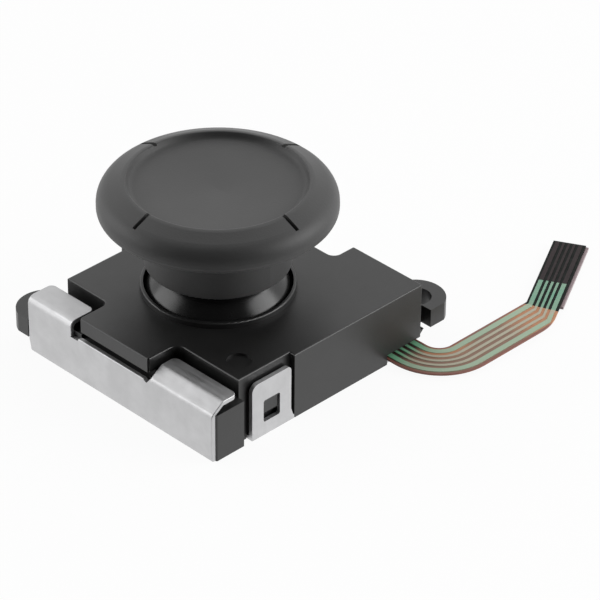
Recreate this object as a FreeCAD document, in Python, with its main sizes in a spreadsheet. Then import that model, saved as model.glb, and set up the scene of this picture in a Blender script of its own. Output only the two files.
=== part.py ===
import FreeCAD, Part
import math
import os
import re
import Sketcher

# Thumb stick module of a hand-held controller, in millimetres.
# The origin is on the stick's axis, at the underside of the steel base. +Z runs up the stick,
# -Y is the side with the two steel hooks, and the flat ribbon leaves through the +X wall.

SIZES = [
    ("face_right", 9.24, "stick axis to the housing's +X face"),
    ("face_left", 7.9, "stick axis to the -X face"),
    ("face_front", 8.97, "stick axis to the -Y face, behind the steel wall"),
    ("face_back", 9.6, "stick axis to the +Y face"),
    ("top_level", 4.85, "height of the housing"),
    ("side_wall", 0.9, "housing walls"),
    ("roof_wall", 0.8, "housing roof"),
    ("corner_round", 0.12, "upright corners of the housing"),
    ("edge_round", 0.1, "edges of the housing's top"),
    ("lip_radius", 5.14, "outside of the collar around the dome"),
    ("lip_rise", 0.42, "collar above the top"),
    ("lip_round", 0.1, "edge of the collar"),
    ("lip_wall", 0.22, "wall of the collar above the seat"),
    ("sheet_thick", 0.3, "steel of the base"),
    ("sheet_gap", 0.02, "steel to plastic where they rest on each other"),
    ("floor_gap", 0.05, "floor edge to the inside of the walls"),
    ("film_thick", 0.12, "flexible circuit"),
    ("print_thick", 0.03, "printed traces, pads and carbon tracks"),
    ("pivot_level", 2.2, "height of the point that the stick tilts about"),
    ("dome_radius", 5.5, "outside of the glossy dome"),
    ("dome_wall", 0.5, "wall of the dome"),
    ("dome_rim_angle", 12, "rim of the dome above the pivot's level, in degrees"),
    ("dome_notch_angle", 22, "top of the four rim notches, in degrees"),
    ("dome_notch_width", 1.8, "width of a rim notch"),
    ("seat_gap", 0.15, "dome to the spherical seat in the roof"),
    ("run_gap", 0.05, "shafts and pins in their bearings"),
    ("journal_radius", 0.4, "rocker journals and hub trunnions"),
    ("crank_reach", 1.25, "rocker axis to its crank pin"),
    ("crank_pin_radius", 0.28, "crank pin in the slider's fork"),
    ("bearing_reach", 5.75, "stick axis to the near side of a bearing post"),
    ("bearing_thick", 0.5, "bearing post along its journal"),
    ("bearing_width", 1.8, "bearing post across its journal"),
    ("frame_inner", 4.3, "inside of the bearing frame's ring"),
    ("frame_outer", 5.6, "outside of the bearing frame's ring"),
    ("frame_thick", 0.43, "thickness of that ring"),
    ("gimbal_inner", 2.1, "inside of the lower rocker's ring"),
    ("gimbal_outer", 3.3, "outside of the lower rocker's ring"),
    ("gimbal_thick", 0.9, "thickness of the lower rocker's ring"),
    ("gimbal_boss", 0.4, "lower rocker's wall below its trunnion seats"),
    ("hub_radius", 1.9, "hub inside that ring"),
    ("hub_above", 0.75, "hub above the pivot"),
    ("hub_below", 0.75, "hub below the pivot"),
    ("post_radius", 0.75, "lever post in the hub"),
    ("shoulder_radius", 0.9, "lever post above the spring washer"),
    ("shoulder_level", 5.6, "where the post steps to the shoulder"),
    ("post_tip", 0.87, "lowest point of the lever"),
    ("tip_round", 0.3, "edge of the lever's tip"),
    ("washer_radius", 1.6, "spring washer"),
    ("washer_thick", 0.15, "spring washer"),
    ("clip_radius", 1.15, "clip below the hub"),
    ("clip_thick", 0.15, "clip below the hub"),
    ("clip_groove", 0.15, "depth of the clip's groove"),
    ("spring_radius", 1.3, "centre line of the return spring"),
    ("spring_wire", 0.13, "radius of the spring's wire"),
    ("spring_turns", 4, "turns of the return spring"),
    ("spring_sides", 12, "flats around the spring's wire, which a mesh can follow along a helix"),
    ("arch_outer", 4.6, "outside of the upper rocker's arch"),
    ("arch_inner", 3.95, "inside of the upper rocker's arch"),
    ("arch_width", 3.4, "width of the arch"),
    ("arch_slot_angle", 27, "half of the arch's slot, in degrees"),
    ("stem_radius", 2.0, "stem that carries the cap"),
    ("stem_top", 10.2, "top of that stem"),
    ("stem_flat", 1.55, "stem axis to each of its flats"),
    ("crest_radius", 6.15, "outside of the cap's crest"),
    ("crest_level", 12.95, "height of the crest"),
    ("crest_width", 0.22, "flat of the crest"),
    ("crest_round", 0.12, "crest's inner edge"),
    ("crest_fall", 0.6, "crest's outer edge"),
    ("rim_width", 1.7, "crest to the cap's largest radius"),
    ("rim_slope", 0.75, "how far the rim falls from the crest towards that radius"),
    ("rim_level", 11.3, "height of the largest radius"),
    ("rim_drop", 0.48, "largest radius to the rim's lower edge"),
    ("rim_round", 1.3, "round of the rim's upper side"),
    ("rim_foot_round", 0.45, "round of the rim's lower edge"),
    ("dish_level", 12.2, "middle of the cap's dish"),
    ("dish_rise", 0.3, "rise of the dish towards its wall"),
    ("dish_wall", 0.25, "run of the dish's inner wall"),
    ("dish_round", 0.4, "foot of the dish's wall"),
    ("neck_radius", 4.85, "outside of the cap's neck"),
    ("neck_foot", 6.85, "lower edge of the neck"),
    ("neck_head", 9.75, "where the neck meets the cap's underside"),
    ("neck_taper", 0.07, "how much narrower the neck is at its head"),
    ("neck_root_round", 0.7, "neck to underside"),
    ("neck_foot_round", 0.15, "lower edge of the neck"),
    ("rubber_wall", 0.8, "rubber around the hard core"),
    ("bond_gap", 0.03, "rubber to core"),
    ("cap_mark_width", 0.28, "four marks across the rim"),
    ("cap_mark_depth", 0.24, "depth of those marks"),
    ("ear_radius", 2.0, "fixing ears"),
    ("ear_hole", 1.03, "radius of the fixing holes"),
    ("ear_top", 2.4, "upper face of the ears"),
    ("ear_thick", 1.35, "thickness of the ears"),
    ("ear_back_across", 7.4, "centre of the back ear along X"),
    ("ear_back_along", 11.0, "centre of the back ear along Y"),
    ("ear_left_across", 8.7, "centre of the left ear along -X"),
    ("ear_left_along", 7.4, "centre of the left ear along -Y"),
    ("ear_step", 0.9, "gap between the body and an ear's corner"),
    ("gusset_size", 0.5, "wedge below an ear"),
    ("hook_back", 6.57, "stick axis to the wall behind the hooks"),
    ("ledge_level", 3.5, "ledge below the hooks"),
    ("tongue_left", 3.4, "tongue between the hooks, -X side"),
    ("tongue_right", 3.12, "tongue between the hooks, +X side"),
    ("tongue_lip", 1.05, "height of the tongue's lip"),
    ("tongue_out", 0.13, "how far the lip stands out"),
    ("tongue_recess", 0.47, "depth of the recess below the lip"),
    ("hook_left_end", 8.3, "left hook's outer end, along -X"),
    ("hook_left_start", 4.1, "left hook's inner end, along -X"),
    ("hook_right_start", 3.45, "right hook's inner end"),
    ("hook_right_end", 9.15, "right hook's outer end"),
    ("hook_left_reach", 7.15, "stick axis to the left hook's edge"),
    ("hook_right_reach", 7.05, "stick axis to the right hook's edge"),
    ("hook_top", 4.27, "upper face of the hooks"),
    ("hook_bend", 0.42, "outer radius of the right hook's bends, and the hooks' corners"),
    ("hook_left_bend", 0.55, "outer radius of the left hook's bend"),
    ("slope_foot", 3.55, "right hook: where the wall starts to lean"),
    ("slope_head", 8.3, "right hook: stick axis to the crease"),
    ("steel_edge", 0.06, "round along the hooks' and the wall's cut edges"),
    ("wall_middle", 3.3, "edge of the steel wall between the hooks"),
    ("tab_near", 2.4, "right tab's edge nearest the stick, along -Y"),
    ("tab_far", 5.85, "right tab's far edge, along -Y"),
    ("left_tab_shift", 0.75, "left tab, nearer to the stick than the right one"),
    ("tab_top", 4.2, "upper edge of the tabs"),
    ("tab_far_round", 0.55, "tabs: upper corner away from the stick"),
    ("tab_near_round", 0.35, "tabs: upper corner near the stick"),
    ("window_round", 0.15, "corners of the tab windows"),
    ("foot_flare", 0.29, "right and left tabs: how much wider they are at the foot"),
    ("tab_recess", 0.49, "depth of the recesses behind the tabs"),
    ("window_low", 1.0, "tab window, lower edge"),
    ("window_high", 2.65, "tab window, upper edge"),
    ("window_margin", 1.0, "tab window to the tab's edge"),
    ("barb_gap", 0.12, "barb to its window"),
    ("back_left", 3.4, "back recess, -X side"),
    ("back_right", 2.9, "back recess, +X side"),
    ("back_depth", 1.85, "depth of the back recess"),
    ("back_tab_across", 0.3, "middle of the back tab, along -X"),
    ("recess_round", 0.6, "rounded inner corners"),
    ("slot_height", 0.75, "ribbon notch in the +X wall"),
    ("ribbon_near", 6.47, "ribbon's edge nearest the stick at the exit"),
    ("ribbon_width", 3.02, "ribbon"),
    ("trace_margin", 0.22, "ribbon's edge to the first trace"),
    ("trace_gap", 0.27, "space between two traces"),
    ("wide_trace", 0.4, "first and last trace"),
    ("thin_trace", 0.22, "the three traces between them"),
    ("tail_bend_round", 4, "tail's outer corner"),
    ("ribbon_turn", 1.13, "radius of the ribbon's inner edge at the elbow"),
    ("ribbon_inner", 11.01, "inner edge of the straight run, along X"),
    ("ribbon_kink", 18.0, "where the tail turns off, along Y"),
    ("tail_angle", 28.8, "tail's turn towards -X, in degrees"),
    ("tail_width", 2.28, "tail"),
    ("tail_length", 7.95, "inner edge of the tail"),
    ("pad_length", 5.08, "contact pads at the tail's end"),
    ("stiffener_thick", 0.2, "stiffener under the tail"),
    ("click_radius", 2.0, "snap dome under the lever"),
    ("click_height", 0.26, "rise of the snap dome"),
    ("click_wall", 0.06, "steel of the snap dome"),
    ("cover_wall", 0.04, "film over the snap dome"),
    ("slider_reach", 6.95, "stick axis to the near side of a slider"),
    ("slider_thick", 1.0, "slider across its travel"),
    ("slider_length", 3.4, "slider along its travel"),
    ("slider_foot", 0.62, "underside of the sliders"),
    ("slider_height", 1.0, "height of the sliders"),
    ("fork_gap", 0.04, "crank pin in its fork"),
    ("wiper_thick", 0.06, "spring leaf of the wipers"),
    ("wiper_width", 0.5, "one wiper leaf"),
    ("track_gap", 0.015, "wiper to carbon track"),
    ("track_width", 0.8, "carbon track"),
    ("track_length", 4.4, "carbon track"),
    ("eject_radius", 0.82, "round mark on the top"),
    ("eject_depth", 0.15, "depth of that mark"),
    ("eject_across", 7.2, "round mark along X"),
    ("eject_along", 5.04, "round mark along -Y"),
]

doc = FreeCAD.newDocument("thumb_stick")
sheet = doc.addObject("Spreadsheet::Sheet", "dims")
for row, (alias, value, note) in enumerate(SIZES, start=1):
    sheet.set("A%d" % row, str(value))
    sheet.setAlias("A%d" % row, alias)
    sheet.set("B%d" % row, note)
doc.recompute()
NAMES = {alias for alias, _, _ in SIZES}


def size(alias):
    return float(sheet.get(alias))


def formula(text):
    """The same arithmetic with each size named as a cell of the sheet."""
    def cell(match):
        word = match.group(0)
        return "dims." + word if word in NAMES else word
    return re.sub(r"[a-z]+(?:_[a-z]+)+", cell, text)


def bind(thing, **values):
    for name, text in values.items():
        thing.setExpression(name, formula(text))


# Ways of building


def new_body(label):
    return doc.addObject("PartDesign::Body", label)


def origin_feature(body, role):
    return [f for f in body.Origin.OriginFeatures if f.Role == role][0]


def new_sketch(body, name, plane, lift="0"):
    """A sketch on one of the body's origin planes. XY faces +Z, XZ faces -Y and YZ faces +X."""
    sketch = body.newObject("Sketcher::SketchObject", name)
    sketch.AttachmentSupport = (origin_feature(body, plane + "_Plane"), [""])
    sketch.MapMode = "FlatFace"
    sketch.setExpression(".AttachmentOffset.Base.z", formula(lift))
    return sketch


def add_outline(sketch, points):
    """A closed outline of straight lines, each corner bound to the sheet."""
    count = len(points)
    first = sketch.GeometryCount
    ring = [FreeCAD.Vector(math.cos(2 * math.pi * i / count), math.sin(2 * math.pi * i / count), 0)
            for i in range(count)]
    sketch.addGeometry([Part.LineSegment(ring[i], ring[(i + 1) % count]) for i in range(count)], False)
    rules = [Sketcher.Constraint("Coincident", first + i, 2, first + (i + 1) % count, 1) for i in range(count)]
    for i, corner in enumerate(ring):
        rules.append(Sketcher.Constraint("DistanceX", -1, 1, first + i, 1, corner.x))
        rules.append(Sketcher.Constraint("DistanceY", -1, 1, first + i, 1, corner.y))
    index = sketch.addConstraint(rules)
    for i, (across, along) in enumerate(points):
        sketch.setExpression("Constraints[%d]" % index[count + 2 * i], formula(across))
        sketch.setExpression("Constraints[%d]" % index[count + 2 * i + 1], formula(along))


def add_circle(sketch, across, along, radius):
    circle = Part.Circle(FreeCAD.Vector(1, 1, 0), FreeCAD.Vector(0, 0, 1), 1)
    ring = sketch.addGeometry(circle, False)
    index = sketch.addConstraint([
        Sketcher.Constraint("DistanceX", -1, 1, ring, 3, 1.0),
        Sketcher.Constraint("DistanceY", -1, 1, ring, 3, 1.0),
        Sketcher.Constraint("Radius", ring, 1.0),
    ])
    for rule, text in zip(index, (across, along, radius)):
        sketch.setExpression("Constraints[%d]" % rule, formula(text))


def box_points(left, right, near, far):
    return [(left, near), (right, near), (right, far), (left, far)]


def extrude(kind, body, name, sketch, length, midplane=False, backwards=False):
    feature = body.newObject("PartDesign::" + kind, name)
    feature.Profile = sketch
    feature.Midplane = midplane
    feature.Reversed = backwards
    feature.setExpression("Length", formula(length))
    return feature


def pad_outline(body, name, plane, points, length, lift="0", midplane=False, backwards=False):
    sketch = new_sketch(body, name + "_outline", plane, lift)
    add_outline(sketch, points)
    return extrude("Pad", body, name, sketch, length, midplane, backwards)


def cut_outline(body, name, plane, points, length, lift="0", midplane=False, backwards=False):
    sketch = new_sketch(body, name + "_outline", plane, lift)
    add_outline(sketch, points)
    return extrude("Pocket", body, name, sketch, length, midplane, backwards)


def pad_circle(body, name, plane, centre, radius, length, lift="0", midplane=False, backwards=False):
    sketch = new_sketch(body, name + "_circle", plane, lift)
    add_circle(sketch, centre[0], centre[1], radius)
    return extrude("Pad", body, name, sketch, length, midplane, backwards)


def cut_circle(body, name, plane, centre, radius, length, lift="0", midplane=False, backwards=False):
    sketch = new_sketch(body, name + "_circle", plane, lift)
    add_circle(sketch, centre[0], centre[1], radius)
    return extrude("Pocket", body, name, sketch, length, midplane, backwards)


def turn(kind, body, name, points):
    """A profile of radius and height, turned about the stick's axis."""
    sketch = new_sketch(body, name + "_profile", "XZ")
    add_outline(sketch, points)
    feature = body.newObject("PartDesign::" + kind, name)
    feature.Profile = sketch
    feature.ReferenceAxis = (sketch, ["V_Axis"])
    feature.Angle = 360
    return feature


def ball(kind, body, name, radius, low="-90", level="pivot_level"):
    """A ball about the pivot, or the part of it above a latitude."""
    feature = body.newObject("PartDesign::" + kind + "Sphere", name)
    feature.AttachmentSupport = (origin_feature(body, "XY_Plane"), [""])
    feature.MapMode = "FlatFace"
    feature.setExpression(".AttachmentOffset.Base.z", formula(level))
    bind(feature, Radius=radius, Angle1=low)
    return feature


def around(body, name, feature, count=4):
    """Copies of a feature, spread evenly around the stick's axis."""
    pattern = body.newObject("PartDesign::PolarPattern", name)
    pattern.Originals = [feature]
    pattern.Axis = (origin_feature(body, "Z_Axis"), [""])
    pattern.Angle = 360
    pattern.Occurrences = count
    body.Tip = pattern
    return pattern


def round_edges(body, name, wanted, radius):
    """Rounds the edges of the body that the test picks."""
    doc.recompute()
    base = body.Tip
    names = ["Edge%d" % n for n, edge in enumerate(base.Shape.Edges, start=1) if wanted(edge)]
    if not names:
        raise RuntimeError("no edge found for " + name)
    feature = body.newObject("PartDesign::Fillet", name)
    feature.Base = (base, names)
    feature.setExpression("Radius", formula(radius))
    doc.recompute()
    return feature


NEAR = 1e-4


def upright(*corners):
    """Edges that stand upright at one of the given corners."""
    def test(edge):
        box = edge.BoundBox
        if edge.Curve.TypeId != "Part::GeomLine" or box.XLength > NEAR or box.YLength > NEAR:
            return False
        return any(abs(box.XMin - x) < NEAR and abs(box.YMin - y) < NEAR for x, y in corners)
    return test


def ring_edge(radius, level):
    """Edges that run round the stick's axis at a radius and a height."""
    def test(edge):
        box = edge.BoundBox
        reach = max(abs(box.XMin), abs(box.XMax), abs(box.YMin), abs(box.YMax))
        return box.ZLength < NEAR and abs(box.ZMin - level) < NEAR and abs(reach - radius) < NEAR
    return test


def along_x(*places):
    """Straight edges along X at one of the given pairs of Y and Z."""
    def test(edge):
        box = edge.BoundBox
        if edge.Curve.TypeId != "Part::GeomLine" or box.YLength > NEAR or box.ZLength > NEAR:
            return False
        return any(abs(box.YMin - y) < NEAR and abs(box.ZMin - z) < NEAR for y, z in places)
    return test


def along_y(*places):
    """Straight edges along Y at one of the given pairs of X and Z."""
    def test(edge):
        box = edge.BoundBox
        if edge.Curve.TypeId != "Part::GeomLine" or box.XLength > NEAR or box.ZLength > NEAR:
            return False
        return any(abs(box.XMin - x) < NEAR and abs(box.ZMin - z) < NEAR for x, z in places)
    return test


# Levels that several pieces share
FILM_TOP = "sheet_thick + film_thick"
ROOF = "top_level - roof_wall"
PRINT_TOP = FILM_TOP + " + print_thick"
FLOOR_TOP = "sheet_thick + sheet_gap"
HOOK_UNDER = "hook_top - sheet_thick"
WALL_OUT = "face_front + sheet_gap + sheet_thick"
IN_LEFT = "-(face_left - side_wall)"
IN_RIGHT = "face_right - side_wall"
IN_BACK = "face_back - side_wall"
MAIN_FRONT = "-(bearing_reach - run_gap)"
MAIN_BACK = "face_back - back_depth - side_wall"
BAY_FRONT = "-(face_front - side_wall)"
BAY_LEFT = "-(tongue_left - 0.8 * side_wall)"
BAY_RIGHT = "tongue_right - 0.7 * side_wall"
BAY_TOP = "pivot_level + hub_above"
BEYOND = "1"


def make_housing():
    """The moulded housing: box, collar, spherical seat, recesses, ears, bearings and barbs."""
    body = new_body("housing")
    pad_outline(body, "block", "XY", box_points("-face_left", "face_right", "-face_front", "face_back"),
                "top_level")
    right, left, front, back = (size("face_right"), -size("face_left"), -size("face_front"), size("face_back"))
    cut_outline(body, "hook_recess_left", "XY", box_points(
        "-face_left - 1", "-tongue_left", "-face_front - 1", "-hook_back"),
        "top_level - ledge_level", "top_level")
    cut_outline(body, "hook_recess_right", "XY", box_points(
        "tongue_right", "face_right + 1", "-face_front - 1", "-hook_back"),
        "top_level - ledge_level", "top_level")
    cut_outline(body, "tab_recess_right", "XY", box_points(
        "face_right - tab_recess", "face_right + 1", "-hook_back", "-(tab_near - 0.3)"),
        "top_level", "top_level")
    cut_outline(body, "tab_recess_left", "XY", box_points(
        "-face_left - 1", "-(face_left - tab_recess)", "-hook_back", "-(tab_near - left_tab_shift - 0.3)"),
        "top_level", "top_level")
    cut_outline(body, "back_recess", "XY", box_points(
        "-back_left", "back_right", "face_back - back_depth", "face_back + 1"),
        "top_level", "top_level")
    recess = -size("hook_back")
    round_edges(body, "recess_corners", upright(
        (-size("tongue_left"), recess), (size("tongue_right"), recess),
        (-size("back_left"), back - size("back_depth")), (size("back_right"), back - size("back_depth"))),
        "recess_round")
    round_edges(body, "outer_corners", upright(
        (right, front), (right, back), (left, back), (left, front),
        (-size("back_left"), back), (size("back_right"), back)), "corner_round")
    top = size("top_level")
    round_edges(body, "top_edges", lambda edge: edge.BoundBox.ZLength < NEAR
                and abs(edge.BoundBox.ZMin - top) < NEAR, "edge_round")

    # The tongue between the hooks has a lip, and its face steps back below it.
    pad_outline(body, "tongue", "XY", box_points(
        "-tongue_left + edge_round", "tongue_right - edge_round", "-(face_front + tongue_out)",
        "-hook_back - 1"),
        "tongue_lip", "top_level - tongue_lip")
    cut_outline(body, "tongue_step", "XZ", box_points(
        "-tongue_left", "tongue_right", "wall_middle - 0.1", "top_level - tongue_lip"),
        "tongue_recess + 1", "face_front + 1")
    lip_front = -(size("face_front") + size("tongue_out"))
    round_edges(body, "tongue_edge", along_x((lip_front, top)), "edge_round")

    make_ears(body)
    hollow_out(body)

    # Collar and the spherical seat that holds the dome down
    pad_circle(body, "collar", "XY", ("0", "0"), "lip_radius", "lip_rise + roof_wall / 2",
               "top_level - roof_wall / 2")
    ball("Subtractive", body, "seat", "dome_radius + seat_gap")
    cut_circle(body, "collar_bore", "XY", ("0", "0"), "lip_radius - lip_wall", "lip_rise + roof_wall / 4",
               "top_level + lip_rise")
    round_edges(body, "collar_edge", ring_edge(size("lip_radius"), top + size("lip_rise")), "lip_round")

    # Half bearings that close over the four journals
    block = pad_outline(body, "bearing_cap", "XY", box_points(
        "bearing_reach", "bearing_reach + bearing_thick", "-bearing_width / 2", "bearing_width / 2"),
        ROOF + " - pivot_level - sheet_gap + run_gap", "pivot_level + sheet_gap")
    around(body, "bearing_caps", block)
    far = "2 * (bearing_reach + bearing_thick + run_gap)"
    for name, plane in (("bearing_along", "XZ"), ("bearing_across", "YZ")):
        cut_circle(body, name, plane, ("0", "pivot_level"), "journal_radius + run_gap", far, midplane=True)

    # Pads on the ledges, which the hooks press on
    for side, left_end, right_end, front_edge in (
            ("left", "-hook_left_end + 1.2", "-hook_left_start - 0.5", "-(face_front - 0.3)"),
            ("right", "hook_right_start + 0.5", "hook_right_end - 0.5", "-(slope_head - 0.1)")):
        pad_outline(body, "hook_pad_" + side, "XY", box_points(
            left_end, right_end, front_edge, "-(hook_left_reach + 0.3)"),
            HOOK_UNDER + " - sheet_gap - ledge_level", "ledge_level")

    # Barbs that snap into the windows of the steel tabs
    barb = "window_margin + barb_gap"
    slope = [("window_low + barb_gap", "0"), ("window_high - barb_gap", "0"),
             ("window_high - barb_gap", "tab_recess - barb_gap"), ("window_low + 0.6", "tab_recess - barb_gap")]
    wedge_right = [("face_right - tab_recess + " + out, up) for up, out in slope]
    wedge_left = [("-(face_left - tab_recess + " + out + ")", up) for up, out in slope]
    for side, wedge, near in (("right", wedge_right, "tab_near"),
                              ("left", wedge_left, "tab_near - left_tab_shift")):
        pad_outline(body, "barb_" + side, "XZ", wedge, "tab_far - tab_near - 2 * (" + barb + ")",
                    near + " + " + barb)
    wedge_back = [("face_back - back_depth + " + out, up) for up, out in slope]
    pad_outline(body, "barb_back", "YZ", wedge_back, "tab_far - tab_near - 2 * (" + barb + ")",
                "-back_tab_across", midplane=True)

    cut_circle(body, "eject_mark", "XY", ("eject_across", "-eject_along"), "eject_radius", "eject_depth",
               "top_level")
    return body


def make_ears(body):
    """Two fixing ears, each flush with a face of the housing and stepped away from its corner."""
    low = "ear_top - ear_thick"
    pad_circle(body, "ear_back", "XY", ("ear_back_across", "ear_back_along"), "ear_radius", "ear_thick", low)
    pad_outline(body, "ear_back_web", "XY", [
        ("ear_back_across - ear_radius", "face_back - 0.3"),
        ("ear_back_across + ear_radius / 2", "face_back - 0.3"),
        ("ear_back_across + ear_radius / 2", "face_back + ear_step"), ("face_right", "face_back + ear_step"),
        ("face_right", "ear_back_along"), ("ear_back_across - ear_radius", "ear_back_along")],
        "ear_thick", low)
    cut_outline(body, "ear_back_flush", "XY", [
        ("face_right + 3", "face_back + 0.01"), ("ear_back_across + ear_radius / 2", "face_back + 0.01"),
        ("ear_back_across + ear_radius / 2", "face_back + ear_step"), ("face_right", "face_back + ear_step"),
        ("face_right", "ear_back_along + 3"), ("face_right + 3", "ear_back_along + 3")], "ear_thick + 0.4",
        "ear_top + 0.2")
    cut_circle(body, "ear_back_hole", "XY", ("ear_back_across", "ear_back_along"), "ear_hole",
               "ear_thick + 0.4", "ear_top + 0.2")
    pad_outline(body, "ear_back_gusset", "YZ", [
        ("face_back - 0.2", low + " - gusset_size"), ("face_back", low + " - gusset_size"),
        ("face_back + gusset_size", low), ("face_back - 0.2", low)],
        "ear_radius * 1.8", "ear_back_across - ear_radius")

    pad_circle(body, "ear_left", "XY", ("-ear_left_across", "-ear_left_along"), "ear_radius", "ear_thick", low)
    pad_outline(body, "ear_left_web", "XY", box_points(
        "-ear_left_across", "-(face_left - tab_recess) + 0.3", "-(face_front - 0.2)",
        "-(ear_left_along - ear_radius)"), "ear_thick", low)
    cut_outline(body, "ear_left_flush", "XY", [
        ("-ear_left_across - 3", "-(" + WALL_OUT + ")"), ("-hook_left_end - floor_gap", "-(" + WALL_OUT + ")"),
        ("-hook_left_end - floor_gap", "-face_front"), ("-(face_left - tab_recess) + 0.5", "-face_front"),
        ("-(face_left - tab_recess) + 0.5", "-face_front - 3"), ("-ear_left_across - 3", "-face_front - 3")],
        "ear_thick + 0.4", "ear_top + 0.2")
    cut_circle(body, "ear_left_hole", "XY", ("-ear_left_across", "-ear_left_along"), "ear_hole",
               "ear_thick + 0.4", "ear_top + 0.2")


def hollow_out(body):
    """The inside, from below: floor step, main space, front bay, two back corners and two cores."""
    front = "-face_front - 1"
    cut_outline(body, "floor_step", "XY", box_points(IN_LEFT, IN_RIGHT, front, MAIN_BACK), FLOOR_TOP,
                backwards=True)
    cut_outline(body, "main_space", "XY", box_points(IN_LEFT, IN_RIGHT, MAIN_FRONT, MAIN_BACK), ROOF,
                backwards=True)
    cut_outline(body, "front_bay", "XY", box_points(BAY_LEFT, BAY_RIGHT, BAY_FRONT, MAIN_FRONT + " + 0.1"),
                BAY_TOP, backwards=True)
    cut_outline(body, "back_right_space", "XY", box_points(
        "back_right + side_wall", IN_RIGHT, MAIN_BACK + " - 0.1", IN_BACK), ROOF, backwards=True)
    cut_outline(body, "back_left_space", "XY", box_points(
        IN_LEFT, "-(back_left + side_wall)", MAIN_BACK + " - 0.1", IN_BACK), ROOF, backwards=True)
    for side, left, right in (("left", IN_LEFT, BAY_LEFT + " - side_wall"),
                              ("right", BAY_RIGHT + " + side_wall", IN_RIGHT)):
        cut_outline(body, "core_" + side, "XY", box_points(
            left, right, BAY_FRONT, MAIN_FRONT + " - 0.8 * side_wall"), "ledge_level - roof_wall",
            backwards=True)
    # Ways out at the bottom of the walls for the three steel tabs and the ribbon
    foot_near = "-(tab_near - foot_flare - floor_gap)"
    foot_far = "-(tab_far + floor_gap)"
    cut_outline(body, "foot_way_right", "XY", box_points(
        IN_RIGHT + " - 0.1", "face_right + 1", foot_far, foot_near), FLOOR_TOP, backwards=True)
    cut_outline(body, "foot_way_left", "XY", box_points(
        "-face_left - 1", IN_LEFT + " + 0.1", foot_far + " + left_tab_shift", foot_near + " + left_tab_shift"),
        FLOOR_TOP, backwards=True)
    half = "(tab_far - tab_near) / 2 + floor_gap"
    cut_outline(body, "foot_way_back", "XY", box_points(
        "-back_tab_across - (" + half + ")", "-back_tab_across + " + half, MAIN_BACK + " - 0.1",
        "face_back + 1"), FLOOR_TOP, backwards=True)
    cut_outline(body, "ribbon_notch", "XY", box_points(
        IN_RIGHT + " - 0.1", "face_right + 1", "ribbon_near - floor_gap", "face_back + 0.1"), "slot_height",
        backwards=True)


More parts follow.
